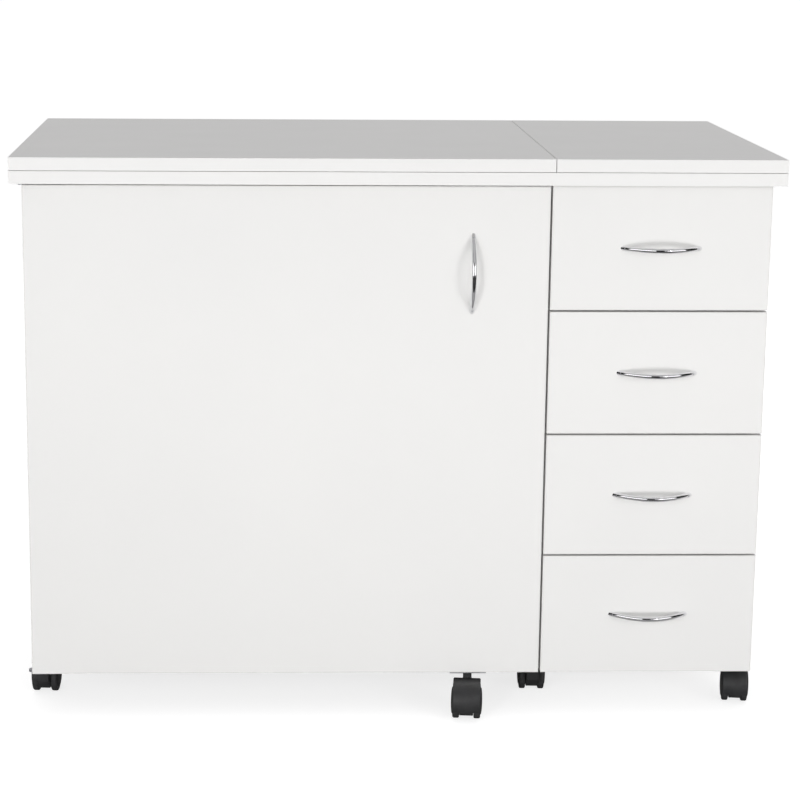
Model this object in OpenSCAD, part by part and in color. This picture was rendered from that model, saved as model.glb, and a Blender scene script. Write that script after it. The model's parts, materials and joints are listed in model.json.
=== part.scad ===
// Sewing cabinet on casters: folding two-part worktop over a slab with a machine opening,
// a lift inside, one wide door on the left and four drawers on the right.
// Millimetres, +Z up, front towards -Y. Z = 0 is the floor.

/* [Overall] */
// Width of the worktop
top_w = 1020; // [850:5:1230]
// Depth of the worktop, front to back
top_d = 560; // [480:5:680]
// Height of the closed worktop above the floor
top_h = 768; // [690:1:925]
// Thickness of each worktop board
top_t = 17; // [14:0.5:25]
// Gap between the slab and the folding leaves
leaf_gap = 0.6; // [0.3:0.1:2]
// Worktop overhang past each side panel
side_overhang = 14.3; // [5:0.1:30]
// Worktop overhang past the door and drawer fronts
front_overhang = 19.5; // [5:0.5:40]
// Worktop overhang past the back
rear_overhang = 15; // [5:1:40]

/* [Carcass] */
// Thickness of carcass panels, door and drawer fronts
panel_t = 16; // [14:0.5:19]
// Gap between the fronts and the carcass edges behind them
front_gap = 2; // [1:0.5:4]
// Distance from the right end of the worktop to the middle of the partition
partition_inset = 308.3; // [220:0.1:420]
// Thickness of the panel under the drawers
base_t = 12; // [8:1:19]
// Height of the rail behind the top of the door
rail_h = 45; // [30:1:80]

/* [Leaves] */
// Gap between the two leaves
seam = 1; // [0.5:0.1:3]
// Leaf seam, measured right from the middle of the partition
seam_shift = 2.7; // [-10:0.1:10]
// Length of each leaf hinge
leaf_hinge_len = 50; // [36:1:80]
// Hinge distance from the front and back edges of the leaf
leaf_hinge_margin = 85; // [60:1:160]
// Knuckle radius of the leaf hinges
leaf_knuckle_r = 3; // [2.5:0.1:5]
// Radius of the leaf hinge pins
leaf_pin_r = 1.5; // [1:0.1:2.5]
// Thickness of the leaf hinge plates
leaf_plate_t = 1.6; // [1:0.1:3]
// Width of each leaf hinge plate
leaf_plate_w = 26; // [18:1:40]
// Gap between an opened leaf and the slab's edge
leaf_open_gap = 0.4; // [0.2:0.1:2]

/* [Door] */
// Gap above the door, which holds the pivot plate
door_top_gap = 3.4; // [3:0.1:6]
// Gap between the door and the drawer fronts
door_gap = 3; // [2:0.5:6]
// Radius of the door pivot pins
pivot_r = 2.5; // [2:0.1:4]
// Radius of the round ear on each door pivot plate
pivot_ear_r = 5.5; // [5:0.1:8]
// Thickness of the door pivot plates
pivot_plate_t = 1.6; // [1.2:0.1:2.5]
// Door handle distance from the door's right edge
door_handle_inset = 101.3; // [60:0.1:160]
// Middle of the door handle below the door's top edge
door_handle_drop = 116.4; // [70:0.1:260]

/* [Drawers] */
// Gap between drawer fronts
drawer_gap = 2.5; // [2:0.5:5]
// Gap between the slab and the top drawer front
drawer_top_gap = 2; // [1.5:0.5:5]
// Depth of the drawer boxes
box_d = 450; // [350:10:500]
// Free height above a drawer box, up to the top edge of its front
box_head = 26; // [22:1:60]
// Thickness of the drawer box boards
box_t = 12; // [9:1:16]
// Thickness of the drawer bottoms
box_bottom_t = 4; // [3:0.5:8]
// Height of the box bottom above the lower edge of its front
box_rise = 18; // [15:1:30]
// Width of each drawer slide
slide_w = 12.7; // [12:0.1:14]
// Height of each fixed drawer rail
slide_h = 45; // [30:1:60]

/* [Handles] */
// Distance between the handle screws
handle_pitch = 96; // [64:32:160]
// Overall reach of a handle off its front
handle_reach = 28; // [22:1:36]
// Radius of the handle's bar
handle_bar_r = 3.2; // [2.6:0.1:4.5]
// Radius of the handle's feet
handle_foot_r = 4.2; // [4:0.1:6]

/* [Lift] */
// Width of the machine opening
cutout_w = 600; // [440:5:620]
// Depth of the machine opening
cutout_d = 320; // [260:5:360]
// Distance from the front edge of the slab to the machine opening
cutout_front = 110; // [80:5:140]
// Thickness of the lift platform
platform_t = 19; // [16:1:22]
// Gap around the platform in the opening
platform_gap = 4; // [2:0.5:8]
// Travel of the lift
lift_travel = 300; // [220:5:330]
// Distance between the two lift rails
lift_rail_pitch = 400; // [300:10:440]

/* [Casters] */
// Height of a caster from the floor to the panel it carries
caster_h = 58; // [50:1:75]
// Wheel radius
wheel_r = 24; // [20:0.5:30]
// Width of one wheel at its rim
wheel_w = 9.2; // [8:0.2:14]
// Bulge of a wheel's outer face past its rim
wheel_dome = 2.4; // [1:0.2:4]
// Width of the housing between the wheels
caster_body_w = 19; // [14:0.5:24]
// Distance from the stem to the axle
caster_trail = 27; // [20:1:34]
// Radius of the caster stems
stem_r = 4; // [3:0.5:4.5]
// Distance of the front casters from the worktop's front edge
caster_front = 94; // [80:1:140]
// Distance of the rear casters from the worktop's back edge
caster_rear = 78; // [70:1:140]
// Door caster distance from the door's right edge
door_caster_inset = 97; // [70:0.1:160]

/* [Hidden] */
$fn = 64;
eps = 0.02; // overshoot of cuts
run = 0.05; // radial clearance of running fits
air = 0.4; // clearance between parts that pass each other

// levels
z_upper = top_h - top_t; // underside of the leaves
z_slab_top = z_upper - leaf_gap;
z_slab = z_slab_top - top_t; // underside of the slab
z_bottom = caster_h; // lower edge of every panel
carcass_h = z_slab - z_bottom;

// depths: the box of the whole cabinet is centred on Y = 0
hood_r = wheel_r + 2;
proud = hood_r + caster_trail - front_overhang - panel_t / 2;
y_front = -(top_d - proud) / 2; // front edge of the worktop
y_rear = y_front + top_d;
y_face = y_front + front_overhang; // outer faces of door and drawers
y_back = y_face + panel_t; // their inner faces
y_carcass = y_back + front_gap; // front edges of the carcass panels
y_carcass_rear = y_rear - rear_overhang;
carcass_d = y_carcass_rear - y_carcass;
y_panel = y_carcass_rear - panel_t; // front faces of the back panels

// widths
x_half = top_w / 2;
x_leaf_pin = x_half + leaf_open_gap / 2; // leaf hinge pins
x_side = x_half - side_overhang; // outer faces of the side panels
x_part = x_half - partition_inset; // middle of the partition
x_part_l = x_part - panel_t / 2;
x_part_r = x_part + panel_t / 2;
x_seam = x_part + seam_shift;

// door
door_inset = 0.5; // door edge inside the side panel's face
door_l = -x_side + door_inset;
door_r = x_part - door_gap / 2;
door_w = door_r - door_l;
door_z1 = z_slab - door_top_gap;
pivot_x = -x_side;
pivot_y = y_back + front_gap / 2;
pivot_plate_len = 52;
pivot_plate_w = 13;
pivot_notch_r = pivot_ear_r + 1;
pivot_lift = 0.3; // lower door plate above the fixed plate
door_handle_x = door_r - door_handle_inset;
door_handle_z = door_z1 - door_handle_drop;

// drawers
drawer_n = 4;
drawer_l = x_part + door_gap / 2;
drawer_r = x_side - door_inset;
drawer_w = drawer_r - drawer_l;
drawer_cx = (drawer_l + drawer_r) / 2;
drawer_h = (carcass_h - drawer_top_gap - (drawer_n - 1) * drawer_gap) / drawer_n;
bay_l = x_part_r;
bay_r = x_side - panel_t;
box_l = bay_l + slide_w;
box_r = bay_r - slide_w;
box_w = box_r - box_l;
box_h = drawer_h - box_rise - box_bottom_t - box_head;
slide_wall = 1.4;
slide_len = box_d - 12;
slide_lap = 1.2; // gap between the moving rail and the fixed rail
slide_z = box_bottom_t + 30; // rail's lower edge above the box bottom

// handles: an arc through the screw positions
bow_sag = handle_reach - handle_bar_r;
bow_half = handle_pitch / 2 + 2;
bow_r = (bow_half * bow_half + bow_sag * bow_sag) / (2 * bow_sag);
bow_c = bow_r - bow_sag;
bow_deg = 2 * asin(bow_half / bow_r) + 8;
screw_r = 2;
screw_bite = 5; // how far the screw enters the foot
screw_head_r = 4;
screw_head_h = 2.4;
screw_sink = screw_head_h + 0.2; // drawer handle screws: heads sunk into the front's inner face

// lift
lift_cx = (-x_side + panel_t + x_part_l) / 2;
cut_x0 = lift_cx - cutout_w / 2;
cut_y0 = y_front + cutout_front;
platform_top = z_slab_top - lift_travel;
platform_z = platform_top - platform_t;
rail_head_w = 30;
rail_head_t = 6;
rail_foot_w = 18;
rail_foot_t = 7;
carriage_h = 140;
carriage_w = 46;
carriage_t = 18; // front face off the back panel
lift_clear = 2; // clear of the slab at the top of the travel
carriage_top = z_slab - lift_clear - lift_travel;
rail_z0 = carriage_top - carriage_h - 20;
arm_t = 3;
arm_w = 26;
cross_t = 4;
gas_r = 8;
gas_wall = 1.5;
gas_rod_r = 4;
gas_y = y_panel - gas_r - 1;
gas_z0 = z_bottom + 16;
gas_z1 = carriage_top - 24;
gas_foot_h = 16;
lug_h = 14;
lever_x = lift_cx + 150;
lever_y = cut_y0 + 60;
lever_drop = 14; // lever pin below the platform
lever_pin_r = 3;
ear_t = 4;
lever_w = 24;

// casters
axle_z = wheel_r;
axle_r = 3;
canopy_in = wheel_r + 0.8;
canopy_start = 104; // canopy's ends, measured round the axle from straight down towards the stem
canopy_end = 292;
body_floor = 9.5; // housing above the floor
hood_top = axle_z + hood_r;
hood_shelf = 16; // flat top of the housing, from over the axle towards the stem
wheel_x = caster_body_w / 2 + air + wheel_w / 2;
hood_w = caster_body_w + 2 * (wheel_w + air);
flange_t = 1.5;
flange_r = 7.4;
door_plate_len = 50; // flange of the door caster's socket is a plate along the door's lower edge
door_plate_w = panel_t - 1;
socket_r = 5.5;
socket_len = 36;
stem_len = 32;
neck_r = 6;
boss_r = 9;
x_cast = x_side - panel_t / 2;
y_cast_f = y_front + caster_front;
y_cast_r = y_rear - caster_rear;
y_cast_door = y_face + panel_t / 2;
x_cast_door = door_r - door_caster_inset;
// each caster: position of its stem and how far it has swivelled from trailing forwards
caster_left_front = [-x_cast, y_cast_f, 175];
caster_middle_front = [x_part, y_cast_f, 177];
caster_right_front = [x_cast, y_cast_f, -8];
caster_left_rear = [-x_cast, y_cast_r, 170];
caster_middle_rear = [x_part, y_cast_r, 195];
caster_right_rear = [x_cast, y_cast_r, 184];
caster_door = [x_cast_door, y_cast_door, -6];
panel_casters = [caster_left_front, caster_middle_front, caster_right_front,
                 caster_left_rear, caster_middle_rear, caster_right_rear];

// colours
c_board = [0.93, 0.93, 0.92];
c_chrome = [0.78, 0.78, 0.8];
c_steel = [0.62, 0.63, 0.65];
c_black = [0.06, 0.06, 0.065];
c_wheel = [0.11, 0.11, 0.12];
c_box = [0.88, 0.87, 0.84];

// ---- shared shapes -------------------------------------------------------

// box between two corners
module block(a, b) {
    translate(a) cube([b[0] - a[0], b[1] - a[1], b[2] - a[2]]);
}

// centres of the hinges along Y
function hinge_ys() = [y_front + leaf_hinge_margin + leaf_hinge_len / 2,
                       y_rear - leaf_hinge_margin - leaf_hinge_len / 2];

// room for a leaf hinge between two levels: side is -1 on the left
module leaf_hinge_room(side, z_lo, z_hi) {
    for (y = hinge_ys()) {
        translate([side * x_leaf_pin, y - leaf_hinge_len / 2 - air, z_upper - leaf_gap / 2])
            rotate([-90, 0, 0]) cylinder(r = leaf_knuckle_r + air, h = leaf_hinge_len + 2 * air);
        xs = [side * x_half, side * (x_half - leaf_plate_w)];
        block([min(xs), y - leaf_hinge_len / 2, z_lo], [max(xs), y + leaf_hinge_len / 2, z_hi]);
    }
}

// one half of a leaf hinge: outer is true for the end knuckles, which hold the pin
module leaf_hinge_half(side, y, z0, outer) {
    third = leaf_hinge_len / 3;
    zc = z_upper - leaf_gap / 2;
    spans = outer ? [[-leaf_hinge_len / 2, -third / 2 - air / 2], [third / 2 + air / 2, leaf_hinge_len / 2]]
                  : [[-third / 2 + air / 2, third / 2 - air / 2]];
    bore = outer ? leaf_pin_r : leaf_pin_r + run;
    x_plate = [side * (x_half - leaf_knuckle_r - air), side * (x_half - leaf_plate_w)];
    difference() {
        union() {
            block([min(x_plate), y - leaf_hinge_len / 2, z0],
                  [max(x_plate), y + leaf_hinge_len / 2, z0 + leaf_plate_t]);
            for (s = spans) {
                translate([side * x_leaf_pin, y + s[0], zc]) rotate([-90, 0, 0])
                    cylinder(r = leaf_knuckle_r, h = s[1] - s[0]);
                xt = [side * (x_half - 1), side * (x_half - leaf_knuckle_r - 2)];
                block([min(xt), y + s[0], z0], [max(xt), y + s[1], z0 + leaf_plate_t]);
            }
        }
        if (!outer)
            translate([side * x_leaf_pin, y - leaf_hinge_len, zc]) rotate([-90, 0, 0])
                cylinder(r = bore, h = 2 * leaf_hinge_len);
    }
    if (outer)
        translate([side * x_leaf_pin, y - leaf_hinge_len / 2 + 1, zc]) rotate([-90, 0, 0])
            cylinder(r = leaf_pin_r, h = leaf_hinge_len - 2);
}

// bow handle lying along X, feet on Y = 0, reaching towards -Y
module bow_handle() {
    difference() {
        union() {
            intersection() {
                translate([0, bow_c, 0]) rotate([0, 0, -90 - bow_deg / 2])
                    rotate_extrude(angle = bow_deg) translate([bow_r, 0]) circle(r = handle_bar_r);
                block([-handle_pitch, -2 * handle_reach, -handle_reach], [handle_pitch, 0, handle_reach]);
            }
            for (s = [-1, 1])
                translate([s * handle_pitch / 2, 0, 0]) rotate([90, 0, 0])
                    cylinder(r = handle_foot_r, h = 6.5);
        }
        for (s = [-1, 1])
            translate([s * handle_pitch / 2, eps, 0]) rotate([90, 0, 0])
                cylinder(r = screw_r + run, h = screw_bite + 0.5);
    }
}

// the two screws of a handle, heads on Y = depth
module handle_screws(depth) {
    for (s = [-1, 1])
        translate([s * handle_pitch / 2, -screw_bite, 0]) rotate([-90, 0, 0]) {
            cylinder(r = screw_r, h = screw_bite + depth);
            translate([0, 0, screw_bite + depth]) difference() {
                cylinder(r = screw_head_r, h = screw_head_h);
                translate([0, 0, screw_head_h - 1])
                    for (a = [0, 90]) rotate([0, 0, a]) translate([-2.4, -0.45, 0]) cube([4.8, 0.9, 2]);
            }
        }
}

// holes for the handle screws through boards of this total depth
module handle_holes(depth) {
    for (s = [-1, 1])
        translate([s * handle_pitch / 2, -eps, 0]) rotate([-90, 0, 0])
            cylinder(r = screw_r + 0.2, h = depth + 2 * eps);
}

// sleeve pressed into the lower edge of a panel to hold a caster stem
module caster_socket(p, plate_len = 0) {
    translate([p[0], p[1], z_bottom - flange_t]) difference() {
        union() {
            if (plate_len > 0)
                block([-plate_len / 2, -door_plate_w / 2, 0], [plate_len / 2, door_plate_w / 2, flange_t]);
            else
                cylinder(r = flange_r, h = flange_t);
            cylinder(r = socket_r, h = flange_t + socket_len);
        }
        translate([0, 0, -eps]) cylinder(r = stem_r + run, h = flange_t + stem_len + 2);
    }
}

module caster_socket_hole(p) {
    translate([p[0], p[1], z_bottom - eps]) cylinder(r = socket_r, h = socket_len + eps);
}

// put a caster part in place: it trails towards -Y before it is turned
module at_caster(p) {
    translate([p[0], p[1], 0]) rotate([0, 0, p[2]]) children();
}

// turn a profile or a cylinder so that its axis is the axle
module on_axle() {
    translate([0, -caster_trail, axle_z]) rotate([0, 90, 0]) children();
}

module caster_swivel(p) {
    color(c_black) at_caster(p) {
        difference() {
            union() {
                translate([-caster_body_w / 2, 0, 0]) on_axle() cylinder(r = hood_r - 0.8, h = caster_body_w);
                block([-caster_body_w / 2, -caster_trail, axle_z], [caster_body_w / 2, 0, hood_top - 3]);
                translate([0, 0, axle_z - 4]) cylinder(r = boss_r, h = hood_top - 2 - axle_z + 4);
                block([-hood_w / 2 + 0.4, -caster_trail, hood_top - 1.5],
                      [hood_w / 2 - 0.4, hood_shelf - caster_trail, hood_top - 0.3]);
                translate([-hood_w / 2, 0, 0]) on_axle() rotate([0, 0, canopy_start])
                    rotate_extrude(angle = canopy_end - canopy_start) translate([canopy_in, 0])
                        square([hood_r - canopy_in, hood_w]);
            }
            block([-hood_w, -2 * hood_r - caster_trail, -hood_r], [hood_w, hood_r, body_floor]);
        }
        translate([-wheel_x - wheel_w / 2 + 2.4, 0, 0]) on_axle()
            cylinder(r = axle_r, h = 2 * wheel_x + wheel_w - 4.8);
        translate([0, 0, hood_top - 6]) cylinder(r = neck_r, h = z_bottom - flange_t - air - hood_top + 6);
        translate([0, 0, hood_top - 6]) cylinder(r = stem_r, h = z_bottom + stem_len - hood_top + 6);
    }
}

module caster_wheels(p) {
    h = wheel_w / 2;
    d = wheel_dome;
    color(c_wheel) at_caster(p) for (s = [-1, 1])
        translate([s * wheel_x, -caster_trail, axle_z]) rotate([0, s * 90, 0]) rotate_extrude()
            polygon([[0, h - 2], [axle_r + run, h - 2], [axle_r + run, -h], [wheel_r - 2, -h],
                     [wheel_r - 0.5, 0.6 - h], [wheel_r, 2 - h], [wheel_r, h - 2.4],
                     [wheel_r - 0.7, h - 0.8], [wheel_r - 2.4, h], [wheel_r * 0.7, h + d * 0.6],
                     [wheel_r * 0.4, h + d * 0.93], [0, h + d]]);
}

// ---- carcass -------------------------------------------------------------

module worktop_slab() {
    color(c_board) difference() {
        block([-x_half, y_front, z_slab], [x_half, y_rear, z_slab_top]);
        block([cut_x0, cut_y0, z_slab - 1], [cut_x0 + cutout_w, cut_y0 + cutout_d, z_slab_top + 1]);
        for (s = [-1, 1]) leaf_hinge_room(s, z_slab_top - leaf_plate_t, z_slab_top + 1);
    }
}

module side_panel(side) {
    xs = [side * x_side, side * (x_side - panel_t)];
    difference() {
        block([min(xs), y_carcass, z_bottom], [max(xs), y_carcass_rear, z_slab]);
        for (p = panel_casters) caster_socket_hole(p);
        if (side < 0) {
            translate([pivot_x, pivot_y, door_z1 - pivot_plate_t - air])
                cylinder(r = pivot_notch_r, h = door_top_gap + pivot_plate_t + 2 * air);
            translate([pivot_x, pivot_y, z_bottom - eps])
                cylinder(r = pivot_notch_r, h = pivot_lift + pivot_plate_t + air);
        }
    }
}

module left_side_panel() { color(c_board) side_panel(-1); }
module right_side_panel() { color(c_board) side_panel(1); }

module centre_partition() {
    color(c_board) difference() {
        block([x_part_l, y_carcass, z_bottom], [x_part_r, y_carcass_rear, z_slab]);
        for (p = panel_casters) caster_socket_hole(p);
    }
}

module knee_back_panel() {
    color(c_board) block([-x_side + panel_t, y_panel, z_bottom], [x_part_l, y_carcass_rear, z_slab]);
}

module drawer_back_panel() {
    color(c_board) block([bay_l, y_panel, z_bottom + base_t], [bay_r, y_carcass_rear, z_slab]);
}

module drawer_base_panel() {
    color(c_board) block([bay_l, y_carcass, z_bottom], [bay_r, y_carcass_rear, z_bottom + base_t]);
}

module knee_top_rail() {
    color(c_board) block([-x_side + panel_t, y_carcass + 6, z_slab - rail_h],
                         [x_part_l, y_carcass + 6 + panel_t, z_slab]);
}

module caster_sockets() { color(c_steel) for (p = panel_casters) caster_socket(p); }

// fixed halves of the door pivots, with their pins
module door_pivot_brackets() {
    z_up = z_slab - pivot_plate_t;
    color(c_steel) {
        block([pivot_x - 2, pivot_y - 1 - pivot_plate_w, z_up],
              [pivot_x + pivot_plate_len, pivot_y - 1, z_slab]);
        translate([pivot_x, pivot_y, z_up]) cylinder(r = pivot_ear_r, h = pivot_plate_t);
        translate([pivot_x, pivot_y, door_z1 - pivot_plate_t])
            cylinder(r = pivot_r, h = door_top_gap + pivot_plate_t);
        z_dn = z_bottom - pivot_plate_t;
        block([pivot_x + 0.5, pivot_y + 1, z_dn], [pivot_x + panel_t - 0.5, pivot_y + 1 + 36, z_bottom]);
        translate([pivot_x, pivot_y, z_dn]) cylinder(r = pivot_ear_r, h = pivot_plate_t);
        translate([pivot_x, pivot_y, z_dn])
            cylinder(r = pivot_r, h = 2 * pivot_plate_t + pivot_lift);
    }
}

module leaf_hinge_plates() {
    color(c_steel) for (s = [-1, 1], y = hinge_ys())
        leaf_hinge_half(s, y, z_slab_top - leaf_plate_t, true);
}

// lower edge of a drawer's front
function front_z(n) = z_slab - drawer_top_gap - n * drawer_h - (n - 1) * drawer_gap;

// C-shaped fixed rail on the left (side = -1) or right wall of the drawer bay
module fixed_rail(side, z0) {
    x0 = side < 0 ? bay_l : bay_r;
    translate([x0, y_carcass + 2, z0]) mirror([side < 0 ? 0 : 1, 0, 0]) {
        cube([slide_wall, slide_len, slide_h]);
        cube([slide_w - 2.4, slide_len, slide_wall]);
        translate([0, 0, slide_h - slide_wall]) cube([slide_w - 2.4, slide_len, slide_wall]);
    }
}

module drawer_fixed_rails() {
    color(c_steel) for (n = [1 : drawer_n], s = [-1, 1])
        fixed_rail(s, front_z(n) + box_rise + slide_z);
}

// T-shaped lift rails on the back panel
module lift_rails() {
    color(c_steel) for (s = [-1, 1]) translate([lift_cx + s * lift_rail_pitch / 2, y_panel, 0]) {
        block([-rail_foot_w / 2, -rail_foot_t, rail_z0], [rail_foot_w / 2, 0, z_slab - 1]);
        block([-rail_head_w / 2, -rail_foot_t - rail_head_t, rail_z0],
              [rail_head_w / 2, -rail_foot_t, z_slab - 1]);
    }
}

module gas_spring_cylinder() {
    color(c_black) {
        translate([lift_cx, gas_y, gas_z0]) difference() {
            cylinder(r = gas_r, h = gas_z1 - gas_z0);
            translate([0, 0, 4]) cylinder(r = gas_r - gas_wall, h = gas_z1 - gas_z0 - 12);
            translate([0, 0, 4]) cylinder(r = gas_rod_r + run, h = gas_z1 - gas_z0);
        }
        difference() {
            block([lift_cx - 14, gas_y - gas_r - 2, gas_z0 - 4],
                  [lift_cx + 14, y_panel, gas_z0 - 4 + gas_foot_h]);
            translate([lift_cx, gas_y, gas_z0]) cylinder(r = gas_r - 1, h = gas_foot_h);
        }
    }
}

// ---- door ----------------------------------------------------------------

module door_panel() {
    color(c_board) difference() {
        block([door_l, y_face, z_bottom], [door_r, y_back, door_z1]);
        translate([door_handle_x, y_face, door_handle_z]) rotate([0, 90, 0]) handle_holes(panel_t);
        caster_socket_hole(caster_door);
        block([door_l - 1, y_back - pivot_plate_w, door_z1 - pivot_plate_t],
              [pivot_x + pivot_plate_len, y_back + 1, door_z1 + 1]);
        block([door_l - 1, y_back - pivot_plate_w, z_bottom - 1],
              [pivot_x + pivot_plate_len, y_back + 1, z_bottom + pivot_lift + pivot_plate_t]);
    }
}

module door_handle() {
    color(c_chrome) translate([door_handle_x, y_face, door_handle_z]) rotate([0, 90, 0]) bow_handle();
}

module door_handle_screws() {
    color(c_steel) translate([door_handle_x, y_face, door_handle_z]) rotate([0, 90, 0])
        handle_screws(panel_t);
}

// plates let into the door's top and bottom edges, with an ear around each pin
module door_pivot_plates() {
    color(c_steel) for (z = [door_z1 - pivot_plate_t, z_bottom + pivot_lift])
        translate([0, 0, z]) difference() {
            union() {
                block([door_l, y_back - pivot_plate_w, 0],
                      [pivot_x + pivot_plate_len, y_back, pivot_plate_t]);
                translate([pivot_x, pivot_y, 0]) cylinder(r = pivot_ear_r, h = pivot_plate_t);
            }
            translate([pivot_x, pivot_y, -1]) cylinder(r = pivot_r + run, h = pivot_plate_t + 2);
        }
}

module door_caster_socket() { color(c_steel) caster_socket(caster_door, door_plate_len); }

// ---- drawers -------------------------------------------------------------

module drawer_front(n) {
    z0 = front_z(n);
    color(c_board) difference() {
        block([drawer_l, y_face, z0], [drawer_r, y_back, z0 + drawer_h]);
        translate([drawer_cx, y_face, z0 + drawer_h / 2]) handle_holes(panel_t);
        for (s = [-1, 1])
            translate([drawer_cx + s * handle_pitch / 2, y_back - screw_sink, z0 + drawer_h / 2])
                rotate([-90, 0, 0]) cylinder(r = screw_head_r + 0.2, h = screw_sink + eps);
    }
}

module drawer_box(n) {
    z0 = front_z(n) + box_rise;
    z1 = z0 + box_bottom_t;
    y1 = y_back + box_d;
    color(c_box) {
        block([box_l, y_back, z0], [box_r, y1, z1]);
        block([box_l, y_back, z1], [box_l + box_t, y1, z1 + box_h]);
        block([box_r - box_t, y_back, z1], [box_r, y1, z1 + box_h]);
        block([box_l + box_t, y_back, z1], [box_r - box_t, y_back + box_t, z1 + box_h]);
        block([box_l + box_t, y1 - box_t, z1], [box_r - box_t, y1, z1 + box_h]);
    }
}

module drawer_handle(n) {
    color(c_chrome) translate([drawer_cx, y_face, front_z(n) + drawer_h / 2]) bow_handle();
}

// the two moving rails on the box, and the handle's screws
module drawer_hardware(n) {
    z0 = front_z(n) + box_rise + slide_z + slide_wall + slide_lap;
    h = slide_h - 2 * (slide_wall + slide_lap);
    d = slide_w - slide_wall - 1.6;
    color(c_steel) {
        for (s = [0, 1]) translate([s == 0 ? box_l : box_r, y_back + 4, z0]) mirror([1 - s, 0, 0]) {
            cube([slide_wall, slide_len, h]);
            cube([d, slide_len, slide_wall]);
            translate([0, 0, h - slide_wall]) cube([d, slide_len, slide_wall]);
        }
        translate([drawer_cx, y_face, front_z(n) + drawer_h / 2]) handle_screws(panel_t - screw_sink);
    }
}

module drawer_1_front() { drawer_front(1); }
module drawer_1_box() { drawer_box(1); }
module drawer_1_handle() { drawer_handle(1); }
module drawer_1_hardware() { drawer_hardware(1); }
module drawer_2_front() { drawer_front(2); }
module drawer_2_box() { drawer_box(2); }
module drawer_2_handle() { drawer_handle(2); }
module drawer_2_hardware() { drawer_hardware(2); }
module drawer_3_front() { drawer_front(3); }
module drawer_3_box() { drawer_box(3); }
module drawer_3_handle() { drawer_handle(3); }
module drawer_3_hardware() { drawer_hardware(3); }
module drawer_4_front() { drawer_front(4); }
module drawer_4_box() { drawer_box(4); }
module drawer_4_handle() { drawer_handle(4); }
module drawer_4_hardware() { drawer_hardware(4); }

// ---- folding leaves ------------------------------------------------------

module left_leaf() {
    color(c_board) difference() {
        block([-x_half, y_front, z_upper], [x_seam - seam / 2, y_rear, top_h]);
        leaf_hinge_room(-1, z_upper - 1, z_upper + leaf_plate_t);
    }
}

module right_leaf() {
    color(c_board) difference() {
        block([x_seam + seam / 2, y_front, z_upper], [x_half, y_rear, top_h]);
        leaf_hinge_room(1, z_upper - 1, z_upper + leaf_plate_t);
    }
}

module left_leaf_hinges() { color(c_steel) for (y = hinge_ys()) leaf_hinge_half(-1, y, z_upper, false); }
module right_leaf_hinges() { color(c_steel) for (y = hinge_ys()) leaf_hinge_half(1, y, z_upper, false); }

// ---- lift ----------------------------------------------------------------

module lift_platform() {
    g = platform_gap;
    color(c_board) block([cut_x0 + g, cut_y0 + g, platform_z],
                         [cut_x0 + cutout_w - g, cut_y0 + cutout_d - g, platform_top]);
}

// one carriage with its arm under the platform
module lift_arm(s) {
    y_head = -rail_foot_t - rail_head_t - air;
    reach = y_panel - cut_y0 - platform_gap - 12;
    translate([lift_cx + s * lift_rail_pitch / 2, y_panel, 0]) {
        difference() {
            block([-carriage_w / 2, -carriage_t, carriage_top - carriage_h],
                  [carriage_w / 2, -3, carriage_top]);
            block([-rail_head_w / 2 - air, y_head, 0], [rail_head_w / 2 + air, -rail_foot_t + air, top_h]);
            block([-rail_foot_w / 2 - air, y_head, 0], [rail_foot_w / 2 + air, 0, top_h]);
        }
        block([-arm_w / 2, -reach, platform_z - arm_t], [arm_w / 2, -carriage_t, platform_z]);
        translate([arm_t / 2, 0, 0]) rotate([90, 0, -90]) linear_extrude(height = arm_t)
            polygon([[carriage_t, carriage_top - carriage_h], [carriage_t, platform_z - arm_t],
                     [reach, platform_z - arm_t], [reach, platform_z - 34], [reach - 30, platform_z - 44]]);
    }
}

module lift_left_arm() { color(c_steel) lift_arm(-1); }
module lift_right_arm() { color(c_steel) lift_arm(1); }

// bar across both carriages, with the lug that the gas spring's rod pushes on
module lift_crossbar() {
    y_cross = y_panel - carriage_t;
    half = lift_rail_pitch / 2 - arm_t / 2;
    color(c_steel) {
        block([lift_cx - half, y_cross - cross_t, carriage_top - 60],
              [lift_cx + half, y_cross, carriage_top - 10]);
        difference() {
            block([lift_cx - 12, y_cross, carriage_top - 10 - lug_h],
                  [lift_cx + 12, gas_y + 8, carriage_top - 10]);
            translate([lift_cx, gas_y, carriage_top - 11 - lug_h])
                cylinder(r = gas_rod_r + run, h = lug_h - 3);
        }
    }
}

// two ears under the platform that hold the release lever's pin
module lift_lever_bracket() {
    color(c_steel) for (x = [lever_x - lever_w / 2 - air - ear_t, lever_x + lever_w / 2 + air])
        difference() {
            block([x, lever_y - 9, platform_z - lever_drop - 7], [x + ear_t, lever_y + 9, platform_z]);
            translate([x - 1, lever_y, platform_z - lever_drop]) rotate([0, 90, 0])
                cylinder(r = lever_pin_r + run, h = ear_t + 2);
        }
}

module gas_spring_rod() {
    color(c_chrome) translate([lift_cx, gas_y, 0]) {
        translate([0, 0, gas_z0 + 6]) cylinder(r = gas_r - gas_wall - air, h = 8);
        translate([0, 0, gas_z0 + 6]) cylinder(r = gas_rod_r, h = carriage_top - 15 - gas_z0 - 6);
    }
}

// release lever: a pin in the bracket's ears and a paddle reaching to the platform's front
module lift_lever() {
    z0 = platform_z - lever_drop;
    color(c_black) {
        translate([lever_x - lever_w / 2 - ear_t - air, lever_y, z0]) rotate([0, 90, 0])
            cylinder(r = lever_pin_r, h = lever_w + 2 * (ear_t + air));
        translate([lever_x - lever_w / 2, lever_y, z0]) rotate([0, 90, 0]) cylinder(r = 6, h = lever_w);
        block([lever_x - lever_w / 2, lever_y - 72, z0 - 6], [lever_x + lever_w / 2, lever_y, z0 - 2]);
        block([lever_x - lever_w / 2, lever_y - 72, z0 - 14], [lever_x + lever_w / 2, lever_y - 68, z0 - 2]);
    }
}

// ---- casters -------------------------------------------------------------

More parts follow.
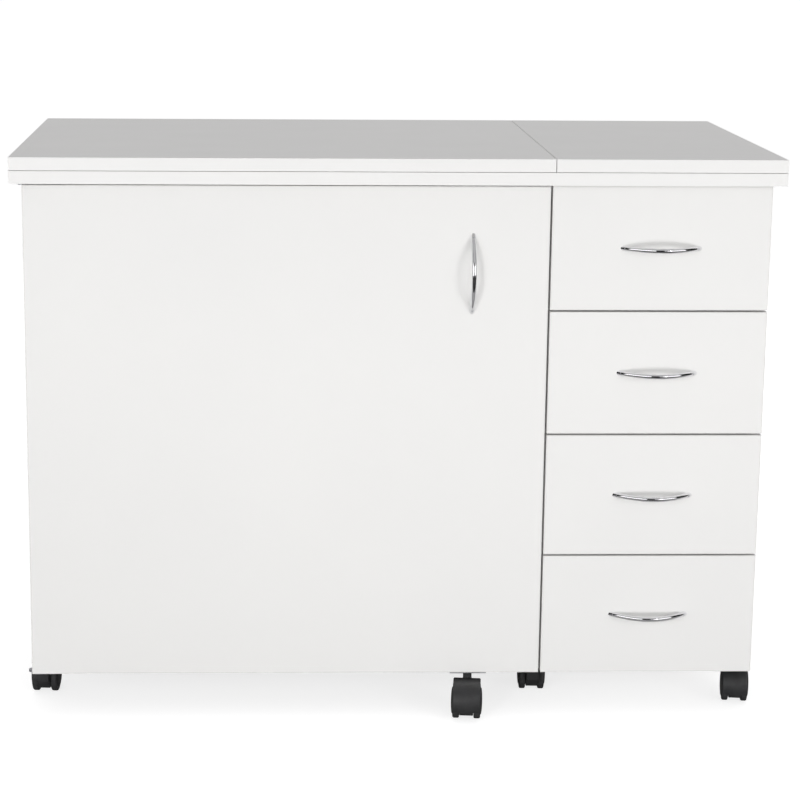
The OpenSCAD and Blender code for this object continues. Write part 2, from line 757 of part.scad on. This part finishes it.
module caster_left_front_swivel() { caster_swivel(caster_left_front); }
module caster_left_front_wheels() { caster_wheels(caster_left_front); }
module caster_middle_front_swivel() { caster_swivel(caster_middle_front); }
module caster_middle_front_wheels() { caster_wheels(caster_middle_front); }
module caster_right_front_swivel() { caster_swivel(caster_right_front); }
module caster_right_front_wheels() { caster_wheels(caster_right_front); }
module caster_left_rear_swivel() { caster_swivel(caster_left_rear); }
module caster_left_rear_wheels() { caster_wheels(caster_left_rear); }
module caster_middle_rear_swivel() { caster_swivel(caster_middle_rear); }
module caster_middle_rear_wheels() { caster_wheels(caster_middle_rear); }
module caster_right_rear_swivel() { caster_swivel(caster_right_rear); }
module caster_right_rear_wheels() { caster_wheels(caster_right_rear); }
module caster_door_swivel() { caster_swivel(caster_door); }
module caster_door_wheels() { caster_wheels(caster_door); }

worktop_slab();
left_side_panel();
right_side_panel();
centre_partition();
knee_back_panel();
drawer_back_panel();
drawer_base_panel();
knee_top_rail();
caster_sockets();
door_pivot_brackets();
leaf_hinge_plates();
drawer_fixed_rails();
lift_rails();
gas_spring_cylinder();
door_panel();
door_handle();
door_handle_screws();
door_pivot_plates();
door_caster_socket();
drawer_1_front();
drawer_1_box();
drawer_1_handle();
drawer_1_hardware();
drawer_2_front();
drawer_2_box();
drawer_2_handle();
drawer_2_hardware();
drawer_3_front();
drawer_3_box();
drawer_3_handle();
drawer_3_hardware();
drawer_4_front();
drawer_4_box();
drawer_4_handle();
drawer_4_hardware();
left_leaf();
left_leaf_hinges();
right_leaf();
right_leaf_hinges();
lift_platform();
lift_left_arm();
lift_right_arm();
lift_crossbar();
lift_lever_bracket();
gas_spring_rod();
lift_lever();
caster_left_front_swivel();
caster_left_front_wheels();
caster_middle_front_swivel();
caster_middle_front_wheels();
caster_right_front_swivel();
caster_right_front_wheels();
caster_left_rear_swivel();
caster_left_rear_wheels();
caster_middle_rear_swivel();
caster_middle_rear_wheels();
caster_right_rear_swivel();
caster_right_rear_wheels();
caster_door_swivel();
caster_door_wheels();
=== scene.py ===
"""Sewing cabinet on casters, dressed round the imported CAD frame.

Boards and hidden hardware keep their CAD shape and get edges and finishes. Handles and casters
are finer pieces built at the places the frame gives.
Metres, +Z up, front towards -Y.
"""

import json
import math

import bmesh
import bpy
from mathutils import Matrix, Vector


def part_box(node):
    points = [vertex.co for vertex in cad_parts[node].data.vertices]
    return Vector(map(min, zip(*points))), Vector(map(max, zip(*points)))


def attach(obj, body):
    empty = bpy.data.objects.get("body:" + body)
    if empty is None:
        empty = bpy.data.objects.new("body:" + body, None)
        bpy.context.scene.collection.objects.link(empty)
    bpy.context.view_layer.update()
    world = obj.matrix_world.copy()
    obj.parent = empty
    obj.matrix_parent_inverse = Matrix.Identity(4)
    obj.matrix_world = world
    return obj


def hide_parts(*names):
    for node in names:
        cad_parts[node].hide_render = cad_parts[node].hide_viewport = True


MM = 0.001

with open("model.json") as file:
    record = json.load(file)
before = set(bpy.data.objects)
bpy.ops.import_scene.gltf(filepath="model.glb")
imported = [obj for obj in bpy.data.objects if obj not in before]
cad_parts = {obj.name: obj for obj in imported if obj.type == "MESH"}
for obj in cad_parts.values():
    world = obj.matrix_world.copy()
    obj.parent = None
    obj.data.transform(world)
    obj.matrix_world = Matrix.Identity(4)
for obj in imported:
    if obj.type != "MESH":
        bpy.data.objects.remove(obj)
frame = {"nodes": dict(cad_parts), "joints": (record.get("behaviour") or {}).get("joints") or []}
bpy.context.view_layer.update()
nodes = frame["nodes"]
joints = {j["name"]: j for j in frame["joints"]}
scene = bpy.context.scene

# ---- camera ----------------------------------------------------------------

CAMERA_AT = (-0.1789, -3.2052, 1.0842)
CAMERA_YAW, CAMERA_PITCH, CAMERA_ROLL = -1.991, -12.239, -0.435  # degrees
CAMERA_LENS = 101.66  # on a 36 mm sensor
CAMERA_SHIFT = 0.075  # the picture is cropped to the right of the lens axis

camera = bpy.data.objects.new("camera", bpy.data.cameras.new("camera"))
scene.collection.objects.link(camera)
camera.data.lens = CAMERA_LENS
camera.data.sensor_width = 36
camera.data.shift_x = CAMERA_SHIFT
camera.matrix_world = (
    Matrix.Translation(CAMERA_AT)
    @ Matrix.Rotation(math.radians(CAMERA_YAW), 4, "Z")
    @ Matrix.Rotation(math.radians(CAMERA_PITCH), 4, "X")
    @ Matrix.Rotation(math.radians(CAMERA_ROLL), 4, "Y")
    @ Matrix.Rotation(math.radians(90), 4, "X")
)
scene.camera = camera


# ---- materials -------------------------------------------------------------


def add_node(tree, kind, inputs=None, **settings):
    """A shader node with its settings made; an input given a socket is linked to it."""
    node = tree.nodes.new(kind)
    for key, value in settings.items():
        setattr(node, key, value)
    for key, value in (inputs or {}).items():
        if isinstance(value, bpy.types.NodeSocket):
            tree.links.new(value, node.inputs[key])
        else:
            node.inputs[key].default_value = value
    return node


def math_node(tree, operation, *values):
    return add_node(tree, "ShaderNodeMath", dict(enumerate(values)), operation=operation).outputs[0]


def mix_colour(tree, factor, a, b):
    """a where factor is 0, b where it is 1; each is a socket or an RGB colour."""
    colours = [c if isinstance(c, bpy.types.NodeSocket) else (*c, 1) for c in (a, b)]
    inputs = {0: factor, 6: colours[0], 7: colours[1]}
    return add_node(tree, "ShaderNodeMix", inputs, data_type="RGBA").outputs[2]


def noise(tree, place, size, detail, low, high):
    """Noise with features of that size in metres, spread from low to high."""
    raw = add_node(tree, "ShaderNodeTexNoise", {"Vector": place, "Scale": 1 / size, "Detail": detail})
    span = {"Value": raw.outputs[0], "From Min": 0.3, "From Max": 0.7, "To Min": low, "To Max": high}
    return add_node(tree, "ShaderNodeMapRange", span).outputs[0]


def finish(name, colours, patch, rough, grain, relief, **sockets):
    """A material whose colour drifts between two tones, whose gloss is uneven and whose skin has a relief.

    patch and grain are the sizes in metres of the drift and of the relief, and relief is its height.
    """
    material = bpy.data.materials.new(name)
    material.use_nodes = True
    tree = material.node_tree
    shader = tree.nodes["Principled BSDF"]
    place = add_node(tree, "ShaderNodeTexCoord").outputs["Object"]
    colour = mix_colour(tree, noise(tree, place, patch, 3.0, 0.0, 1.0), *colours)
    tree.links.new(colour, shader.inputs["Base Color"])
    tree.links.new(noise(tree, place, patch / 2.7, 5.0, *rough), shader.inputs["Roughness"])
    skin = noise(tree, place, grain, 2.0, 0.0, 1.0)
    bump = add_node(tree, "ShaderNodeBump", {"Height": skin, "Distance": relief})
    tree.links.new(bump.outputs[0], shader.inputs["Normal"])
    for key, value in sockets.items():
        shader.inputs[key.replace("_", " ")].default_value = value
    return material


WHITE = ((0.80, 0.795, 0.782), (0.785, 0.781, 0.77))
WHITE_BAND = (0.81, 0.806, 0.795)
DRAWER_WHITE = ((0.74, 0.735, 0.72), (0.70, 0.697, 0.685))
GLUE = (0.50, 0.48, 0.45)
BAND = 1.0 * MM  # thickness of the edge band
GLUE_LINE = 0.11 * MM


def board_material(node, colours=WHITE):
    """Laminated board: pearl-textured faces, and an edge band with its glue line just inside the rim."""
    material = finish(f"laminate_{node}", colours, 0.35, (0.34, 0.46), 0.9 * MM, 0.012 * MM)
    tree = material.node_tree
    shader = tree.nodes["Principled BSDF"]
    laminate = shader.inputs["Base Color"].links[0].from_socket
    place = add_node(tree, "ShaderNodeTexCoord").outputs["Object"]
    axes = add_node(tree, "ShaderNodeSeparateXYZ", {0: place}).outputs
    low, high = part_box(node)
    across = sorted(range(3), key=lambda k: high[k] - low[k])[1:]
    sides = [math_node(tree, "SUBTRACT", axes[k], low[k]) for k in across]
    sides += [math_node(tree, "SUBTRACT", high[k], axes[k]) for k in across]
    inset = sides[0]  # how far a point of the face lies inside the nearest edge
    for side in sides[1:]:
        inset = math_node(tree, "MINIMUM", inset, side)
    colour = mix_colour(tree, math_node(tree, "LESS_THAN", inset, BAND), laminate, WHITE_BAND)
    colour = mix_colour(tree, math_node(tree, "COMPARE", inset, BAND, GLUE_LINE), colour, GLUE)
    tree.links.new(colour, shader.inputs["Base Color"])
    return material


CHROME = finish(
    "chrome", ((0.86, 0.86, 0.87), (0.80, 0.80, 0.82)), 50 * MM, (0.05, 0.11), 20 * MM, 0.01 * MM,
    Metallic=1.0,
)
ZINC = finish(
    "zinc_steel", ((0.62, 0.63, 0.66), (0.50, 0.51, 0.54)), 3 * MM, (0.26, 0.42), 0.5 * MM, 0.01 * MM,
    Metallic=1.0,
)
LIFT_STEEL = finish(
    "lift_steel", ((0.42, 0.43, 0.44), (0.38, 0.39, 0.40)), 40 * MM, (0.45, 0.6), 0.7 * MM, 0.05 * MM
)
BLACK_ENAMEL = finish(
    "black_enamel", ((0.018, 0.018, 0.019), (0.03, 0.03, 0.031)), 30 * MM, (0.2, 0.32), 1.5 * MM, 0.01 * MM,
    Coat_Weight=0.4, Coat_Roughness=0.12,
)
HOUSING = finish(
    "caster_housing", ((0.014, 0.014, 0.015), (0.024, 0.024, 0.025)), 12 * MM, (0.42, 0.56),
    0.35 * MM, 0.03 * MM,
)
TREAD = finish(
    "wheel_tread", ((0.022, 0.022, 0.023), (0.036, 0.036, 0.037)), 6 * MM, (0.55, 0.72), 0.5 * MM, 0.05 * MM
)
HUB = finish(
    "wheel_hub", ((0.018, 0.018, 0.019), (0.03, 0.03, 0.031)), 10 * MM, (0.3, 0.45), 0.6 * MM, 0.015 * MM
)


# ---- CAD nodes kept --------------------------------------------------------

BOARDS = [
    "worktop_slab", "left_leaf", "right_leaf", "lift_platform", "door_panel",
    "left_side_panel", "right_side_panel", "centre_partition", "knee_back_panel",
    "drawer_back_panel", "drawer_base_panel", "knee_top_rail",
] + [f"drawer_{n}_front" for n in range(1, 5)]
DRAWER_BOXES = [f"drawer_{n}_box" for n in range(1, 5)]
HARDWARE = {
    ZINC: [
        "caster_sockets", "door_pivot_brackets", "leaf_hinge_plates", "drawer_fixed_rails", "lift_rails",
        "door_handle_screws", "door_pivot_plates", "door_caster_socket", "left_leaf_hinges",
        "right_leaf_hinges",
    ] + [f"drawer_{n}_hardware" for n in range(1, 5)],
    LIFT_STEEL: ["lift_left_arm", "lift_right_arm", "lift_crossbar", "lift_lever_bracket"],
    BLACK_ENAMEL: ["gas_spring_cylinder", "lift_lever"],
    CHROME: ["gas_spring_rod"],
}


def paint(name, material):
    slots = nodes[name].data.materials
    slots.clear()
    slots.append(material)


def soften_edges(obj, width, segments=2):
    """Joins the mesh's faces, merges flat ones, and rounds its sharp edges."""
    obj.modifiers.new("weld", "WELD").merge_threshold = 0.01 * MM
    flatten = obj.modifiers.new("flatten", "DECIMATE")
    flatten.decimate_type = "DISSOLVE"
    flatten.angle_limit = math.radians(1)
    bevel = obj.modifiers.new("bevel", "BEVEL")
    bevel.width = width
    bevel.segments = segments
    bevel.limit_method = "ANGLE"
    bevel.angle_limit = math.radians(40)


for name in BOARDS:
    paint(name, board_material(name))
    soften_edges(nodes[name], 0.6 * MM)
box_white = finish("drawer_board", DRAWER_WHITE, 0.2, (0.4, 0.55), 0.7 * MM, 0.02 * MM)
for name in DRAWER_BOXES:
    paint(name, box_white)
    soften_edges(nodes[name], 0.5 * MM)
for material, names in HARDWARE.items():
    for name in names:
        paint(name, material)


# ---- mesh helpers ----------------------------------------------------------


def piece(name, mesh, materials, body, slot, *replaced):
    """The bmesh as an object that rides on a body and stands for the CAD nodes it replaces."""
    bmesh.ops.recalc_face_normals(mesh, faces=mesh.faces)
    data = bpy.data.meshes.new(name)
    mesh.to_mesh(data)
    mesh.free()
    for material in materials:
        data.materials.append(material)
    data.polygons.foreach_set("use_smooth", [True] * len(data.polygons))
    data.set_sharp_from_angle(angle=math.radians(38))
    obj = bpy.data.objects.new(name, data)
    scene.collection.objects.link(obj)
    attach(obj, body)
    if replaced:
        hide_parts(*replaced)
    return obj


def skin_rings(mesh, rings, material=0):
    """Quads between rings of points, with the first and last ring capped."""
    made = [[mesh.verts.new(p) for p in ring] for ring in rings]
    faces = []
    for a, b in zip(made, made[1:]):
        for k in range(len(a)):
            n = (k + 1) % len(a)
            faces.append(mesh.faces.new((a[k], a[n], b[n], b[k])))
    faces += [mesh.faces.new(made[0]), mesh.faces.new(made[-1])]
    for face in faces:
        face.material_index = material


def lathe(mesh, profile, turn, material=0, steps=72):
    """A solid of revolution. profile is (radius, height) pairs; turn maps its axis Z into place."""
    rings = []
    for radius, height in profile:
        angles = (2 * math.pi * k / steps for k in range(steps))
        rings.append([turn @ Vector((radius * math.cos(a), radius * math.sin(a), height)) for a in angles])
    skin_rings(mesh, rings, material)


def rounded(outline, radius, steps=4):
    """The outline with each corner given an arc; radius is one number or one for each corner."""
    points = []
    count = len(outline)
    for k, corner in enumerate(outline):
        r = radius[k] if isinstance(radius, (list, tuple)) else radius
        corner = Vector(corner)
        to_last = (Vector(outline[k - 1]) - corner).normalized()
        to_next = (Vector(outline[(k + 1) % count]) - corner).normalized()
        half = to_last.angle(to_next, math.pi) / 2
        if r <= 0 or half > math.radians(88):
            points.append(tuple(corner))
            continue
        middle = corner + (to_last + to_next).normalized() * (r / math.sin(half))
        a = corner + to_last * (r / math.tan(half)) - middle
        b = corner + to_next * (r / math.tan(half)) - middle
        turn = a.angle_signed(b)
        for s in range(steps + 1):
            points.append(tuple(middle + Matrix.Rotation(-turn * s / steps, 2) @ a))
    return points


def slab_of(mesh, outline, place, thickness, rim):
    """An extruded outline, centred on its thickness, with rims rounded by that radius.

    place maps a point of the outline and a depth to a point of the mesh.
    """
    levels = [
        (rim * (1 - math.cos(a)), thickness / 2 - rim * (1 - math.sin(a)))
        for a in (math.radians(d) for d in (0, 22.5, 45, 67.5, 90))
    ]
    following = outline[1:] + outline[:1]
    normals = []
    for before, after in zip(outline[-1:] + outline[:-1], following):
        along = (Vector(after) - Vector(before)).normalized()
        normals.append(Vector((along.y, -along.x)))
    area = sum(p[0] * q[1] - q[0] * p[1] for p, q in zip(outline, following))
    sign = 1 if area > 0 else -1
    rings = []
    for inset, depth in [(i, -d) for i, d in reversed(levels)] + levels:
        ring = []
        for p, n in zip(outline, normals):
            q = Vector(p) - n * sign * inset
            ring.append(place(q.x, q.y, depth))
        rings.append(ring)
    skin_rings(mesh, rings)


# ---- handles ---------------------------------------------------------------

HANDLE_REACH = 28 * MM
HANDLE_SPAN = 99 * MM  # between the points where the bar's centre line meets the front
BAR_THICK = 3.0 * MM  # half sizes of the bar's oval section
BAR_WIDE = 3.3 * MM
BAR_SWELL = 0.12  # how much wider the bar grows towards its ends
BAR_STATIONS, BAR_SPOKES = 64, 32
HALVINGS = 40  # steps of the search for a foot


def bow_handle(name, node, body, upright):
    """A chrome bow: an oval bar bent to a parabola, with its ends cut flush on the front."""
    low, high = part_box(node)
    middle = (low + high) / 2
    root = Vector((middle.x, high.y, middle.z))
    along = Vector((0, 0, 1)) if upright else Vector((1, 0, 0))
    out = Vector((0, -1, 0))
    side = along.cross(out)
    sag = HANDLE_REACH - BAR_THICK
    half = HANDLE_SPAN / 2

    def skin(u, lift):
        """Place along the front and height over it of the skin, lift away from the centre line at u."""
        normal = Vector((2 * sag * u / half**2, 1)).normalized()
        return u + lift * normal.x, sag * (1 - (u / half) ** 2) + lift * normal.y

    spokes = [2 * math.pi * k / BAR_SPOKES for k in range(BAR_SPOKES)]
    feet = []  # where each spoke of the section meets the front
    for a in spokes:
        lift = BAR_THICK * (1 + BAR_SWELL) * math.cos(a)
        near, far = 0.8 * half, 1.3 * half
        for _ in range(HALVINGS):
            u = (near + far) / 2
            near, far = (u, far) if skin(u, lift)[1] > 0 else (near, u)
        feet.append(near)
    rings = []
    for station in range(BAR_STATIONS + 1):
        s = 2 * station / BAR_STATIONS - 1
        swell = 1 + BAR_SWELL * s**4
        ring = []
        for a, foot in zip(spokes, feet):
            place, height = skin(s * foot, BAR_THICK * swell * math.cos(a))
            beside = BAR_WIDE * swell * math.sin(a)
            ring.append(root + along * place + out * max(0.0, height) + side * beside)
        rings.append(ring)
    mesh = bmesh.new()
    skin_rings(mesh, rings)
    return piece(name, mesh, [CHROME], body, "chrome", node)


for n in range(1, 5):
    bow_handle(f"drawer_{n}_bow", f"drawer_{n}_handle", f"drawer_{n}", False)
bow_handle("door_bow", "door_handle", "door", True)


# ---- casters ---------------------------------------------------------------

WHEEL_R = 24 * MM
TRAIL = 27 * MM
AXLE = Vector((0, -TRAIL, WHEEL_R))
BODY_W = 19 * MM  # width of the web between the wheels
HOOD_W = 37.6 * MM
HOOD_R = 26 * MM  # radius of the hood's skin round the axle
HOOD_IN = 24.7 * MM  # and of its inner face
HOOD_STEPS = 33  # stations along the hood's arc, less one
CROWN = 0.15 * MM  # how much higher the hood is along its middle
CANOPY_END = 291  # degrees round the axle from straight down, by way of the stem's side and the top
SHELF = 22 * MM  # the hood's flat top runs this far from over the axle towards the stem
SHELF_CORNER = 3 * MM
BODY_FLOOR = 9.5 * MM
NECK_TOP = 56.1 * MM
NECK_HALF = 5.9 * MM
STEM_R = 4 * MM
SLIM = 0.91  # the casters under the panels are narrower than the door's
RIM_IN, RIM_OUT = 9.9 * MM, 19.1 * MM  # wheel faces, measured from the middle of the caster


def round_axle(radius, degrees, x=0.0):
    """A point round the axle: 0 is straight down, 90 towards the stem, 180 up."""
    a = math.radians(degrees)
    return AXLE + Vector((x, radius * math.sin(a), -radius * math.cos(a)))


def hood_stations():
    """Stations along the hood, each a function from a radius round the axle to (y, z) of the skin."""
    stations = []
    for k in range(HOOD_STEPS + 1):
        degrees = CANOPY_END + (180 - CANOPY_END) * k / HOOD_STEPS
        stations.append(lambda r, d=degrees: tuple(round_axle(r, d).yz))
    corner = Vector((0, AXLE.y + SHELF - SHELF_CORNER, AXLE.z + HOOD_R - SHELF_CORNER))
    for k in range(1, 4):
        stations.append(lambda r, y=AXLE.y + (corner.y - AXLE.y) * k / 4: (y, AXLE.z + r))
    for k in range(7):
        a = math.radians(15 * k)
        stations.append(
            lambda r, a=a: (
                corner.y + (r - HOOD_R + SHELF_CORNER) * math.sin(a),
                corner.z + (r - HOOD_R + SHELF_CORNER) * math.cos(a),
            )
        )
    stations.append(lambda r: (corner.y + r - HOOD_R + SHELF_CORNER, corner.z - 1.4 * MM))
    return stations


def caster_housing(mesh):
    """Hood over both wheels, the web between them, the neck and the steel stem. Trails towards -Y."""
    half, lip = HOOD_W / 2, 2.4 * MM
    shoulder = [(lip * (1 - math.cos(a)), lip * (0.55 - 0.55 * math.sin(a)))
                for a in (math.radians(15 * k) for k in range(7))]
    section = [(-half, HOOD_IN)]
    section += [(-half + x, HOOD_R - d) for x, d in shoulder]
    section += [(x * (half - lip) / 4, HOOD_R - CROWN * (x / 4) ** 2) for x in (-3, -2, -1, 0, 1, 2, 3)]
    section += [(half - x, HOOD_R - d) for x, d in reversed(shoulder)]
    section += [(half, HOOD_IN)]
    section += [(x * half / 4, HOOD_IN) for x in (3, 2, 1, 0, -1, -2, -3)]
    skin_rings(mesh, [[Vector((x, *at(r))) for x, r in section] for at in hood_stations()])

    web_r = HOOD_IN + 0.3 * MM
    drop = math.degrees(math.acos((WHEEL_R - BODY_FLOOR) / web_r))
    outline = [tuple(round_axle(web_r, drop + (80 - drop) * k / 5).yz) for k in range(6)]
    outline += rounded([(-3 * MM, 20 * MM), (8.6 * MM, 21 * MM), (9 * MM, 44 * MM), (-8 * MM, 46 * MM)],
                       [0, 3.5 * MM, 3.5 * MM, 0])
    outline += [tuple(round_axle(web_r, 180 + (180 - drop) * k / 26).yz) for k in range(27)]
    slab_of(mesh, outline, lambda u, v, w: Vector((w, u, v)), BODY_W, 0.9 * MM)

    corner = NECK_HALF
    square = rounded([(-corner, -corner), (corner, -corner), (corner, corner), (-corner, corner)], 2.2 * MM)
    levels = ((44, 1.25), (46, 1.06), (47, 1.0), (55.6, 1.0), (NECK_TOP / MM, 0.93))
    skin_rings(mesh, [[Vector((x * s, y * s, z * MM)) for x, y in square] for z, s in levels])
    stem = [(STEM_R * f, z * MM) for f, z in
            ((0.98, 50), (0.98, 64), (0.82, 64.6), (0.82, 67.4), (0.98, 68), (0.98, 88.6), (0.7, 90))]
    lathe(mesh, stem, Matrix.Identity(4), 1, 32)
    axle = [(2.9 * MM, -16 * MM), (2.9 * MM, 16 * MM)]
    lathe(mesh, axle, Matrix.Translation(AXLE) @ Matrix.Rotation(math.radians(90), 4, "Y"), 1, 24)


def caster_wheels(mesh):
    """A pair of wheels: soft tread, domed outer face with a rim groove and a cap."""
    face = (RIM_OUT - RIM_IN) / MM
    tread = [(19.6, 0.0), (22.6, 0.0), (23.5, 0.5), (23.99, 1.7), (23.99, face - 2.2), (23.6, face - 0.9),
             (22.7, face - 0.2), (21.8, face), (19.6, face - 0.6)]
    hub = [(3.1, 2.0), (5.0, 1.2), (6.4, 1.2), (6.8, 2.6), (18.4, 2.6), (18.8, 0.3), (21.4, 0.3),
           (21.5, 0.8), (21.5, face - 0.2), (20.9, face + 0.10), (20.0, face + 0.05), (19.6, face - 0.35),
           (19.1, face - 0.35), (18.7, face + 0.35), (16.8, face + 1.44), (13.5, face + 1.85),
           (9.6, face + 2.18), (6.2, face + 2.30), (6.0, face + 1.9), (5.6, face + 1.9),
           (5.4, face + 2.32), (3.0, face + 2.39), (0.8, face + 2.4)]
    for side in (-1, 1):
        turn = (
            Matrix.Translation(AXLE + Vector((side * RIM_IN, 0, 0)))
            @ Matrix.Rotation(math.radians(90 * side), 4, "Y")
        )
        lathe(mesh, [(r * MM, h * MM) for r, h in tread], turn, 0)
        lathe(mesh, [(r * MM, h * MM) for r, h in hub], turn, 1)


for name in sorted(joints):
    if not name.endswith("_turn"):
        continue
    key = name[: -len("_turn")]
    slim = 1.0 if key == "caster_door" else SLIM
    stem_at = Vector((*joints[name]["pos_m"][:2], 0))
    low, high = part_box(f"{key}_wheels")
    lean = (low + high) / 2 - stem_at
    in_place = Matrix.Translation(stem_at) @ Matrix.Rotation(math.atan2(lean.x, -lean.y), 4, "Z")
    for build, part, materials, slot in (
        (caster_housing, "swivel", [HOUSING, ZINC], "caster_housing"),
        (caster_wheels, "wheels", [TREAD, HUB], "caster_wheel"),
    ):
        mesh = bmesh.new()
        build(mesh)
        mesh.transform(in_place @ Matrix.Diagonal((slim, 1, 1, 1)))
        piece(f"{key}_{part}_shell", mesh, materials, f"{key}_{part}", slot, f"{key}_{part}")


# ---- studio ----------------------------------------------------------------

FLOOR_HALF, BOUNCE_HALF = 60.0, 6.0
FLOOR_GLOW = 0.76
REFLECTOR_GLOW = 1.1
SHEET_TOP = 2.6  # upper edge of the standing flags
SKY_TONE = (0.50, 0.498, 0.502)  # what the object feels; the camera sees plain white
LIGHTS = {  # position, width and height of the softbox, watts
    "softbox_left": ((-1.35, -3.1, 1.2), (0.5, 0.7), 18),
    "softbox_right": ((2.1, -2.9, 1.25), (0.8, 0.9), 15),
    "softbox_front": ((0.2, -3.3, 0.8), (3.4, 1.4), 9),
    "softbox_low": ((0.2, -2.0, 0.2), (3.0, 0.3), 15),
    "softbox_top": ((0.2, 0.3, 2.6), (3.0, 2.0), 7),
    "softbox_back": ((0.0, 3.6, 1.3), (3.0, 1.6), 24),
}
MIRRORED = ("softbox_left", "softbox_right")  # the lights that show in the handles
AIM = Vector((0.1, -0.1, 0.45))


def stage_sheet(name, corners, material, seen, felt):
    """A flat sheet of the studio. seen: the camera sees it. felt: it lights and is lit by the object."""
    mesh = bmesh.new()
    mesh.faces.new([mesh.verts.new(c) for c in corners])
    data = bpy.data.meshes.new(name)
    mesh.to_mesh(data)
    mesh.free()
    data.materials.append(material)
    obj = bpy.data.objects.new(name, data)
    scene.collection.objects.link(obj)
    obj.visible_camera = seen
    obj.visible_diffuse = obj.visible_shadow = obj.visible_transmission = felt
    return obj


def flat_square(half, z):
    return [(x * half, y * half, z) for x, y in ((-1, -1), (1, -1), (1, 1), (-1, 1))]


def sheet_finish(name, tones, rough, **sockets):
    """A matt grey that drifts between two tones."""
    greys = [(tone, tone, tone) for tone in tones]
    return finish(name, greys, 2.0, rough, 2 * MM, 0.02 * MM, **sockets)


def glow(strength):
    return {"Emission_Color": (1, 1, 1, 1), "Emission_Strength": strength}


paper = sheet_finish(
    "studio_paper", (0.50, 0.49), (0.8, 0.9), Specular_IOR_Level=0.1, **glow(FLOOR_GLOW)
)
bounce = sheet_finish("studio_bounce", (0.42, 0.40), (0.8, 0.9))
black = sheet_finish("studio_flag", (0.01, 0.012), (0.9, 1.0))
white = sheet_finish("studio_reflector", (0.8, 0.78), (0.9, 1.0), **glow(REFLECTOR_GLOW))
stage_sheet("floor", flat_square(FLOOR_HALF, -0.2 * MM), paper, True, False).visible_glossy = False
stage_sheet("floor_bounce", flat_square(BOUNCE_HALF, -0.4 * MM), bounce, False, True)
low_corners = [(-2.6, -0.7, 0.0), (3.0, -0.7, 0.0), (3.0, -3.8, 0.0), (-2.6, -3.8, 0.0)]
stage_sheet("flag_low", low_corners, black, False, False)
for name, (start, end, low, high), material in (
    ("flag_middle", ((-0.5, -3.6), (0.9, -3.6), 0.0, SHEET_TOP), black),
    ("flag_left", ((-2.6, -1.2), (-2.6, 0.8), 0.0, SHEET_TOP), black),
    ("flag_right", ((3.0, -1.2), (3.0, 0.8), 0.0, SHEET_TOP), black),
    ("reflector_left", ((-2.6, -1.3), (-0.6, -3.7), 0.35, 1.7), white),
    ("reflector_right", ((1.5, -3.7), (3.0, -1.3), 0.35, 1.7), white),
):
    corners = [(*start, low), (*end, low), (*end, high), (*start, high)]
    stage_sheet(name, corners, material, False, False)

for name, (at, size, power) in LIGHTS.items():
    data = bpy.data.lights.new(name, "AREA")
    data.shape = "RECTANGLE"
    data.size, data.size_y = size
    data.energy = power
    light = bpy.data.objects.new(name, data)
    scene.collection.objects.link(light)
    light.location = at
    light.rotation_euler = (AIM - Vector(at)).to_track_quat("-Z", "Y").to_euler()
    light.visible_camera = False
    light.visible_glossy = name in MIRRORED

world = bpy.data.worlds.new("studio")
scene.world = world
world.use_nodes = True
sky = world.node_tree
sky.nodes.clear()
seen = add_node(sky, "ShaderNodeBackground", {"Color": (1, 1, 1, 1), "Strength": 1.0})
lit = add_node(sky, "ShaderNodeBackground", {"Color": (*SKY_TONE, 1), "Strength": 1.0})
ray = add_node(sky, "ShaderNodeLightPath")
by_ray = {0: ray.outputs["Is Camera Ray"], 1: lit.outputs[0], 2: seen.outputs[0]}
choose = add_node(sky, "ShaderNodeMixShader", by_ray)
add_node(sky, "ShaderNodeOutputWorld", {"Surface": choose.outputs[0]})
scene.view_settings.view_transform = "Standard"

# ---- the end ---------------------------------------------------------------

bpy.context.view_layer.update()
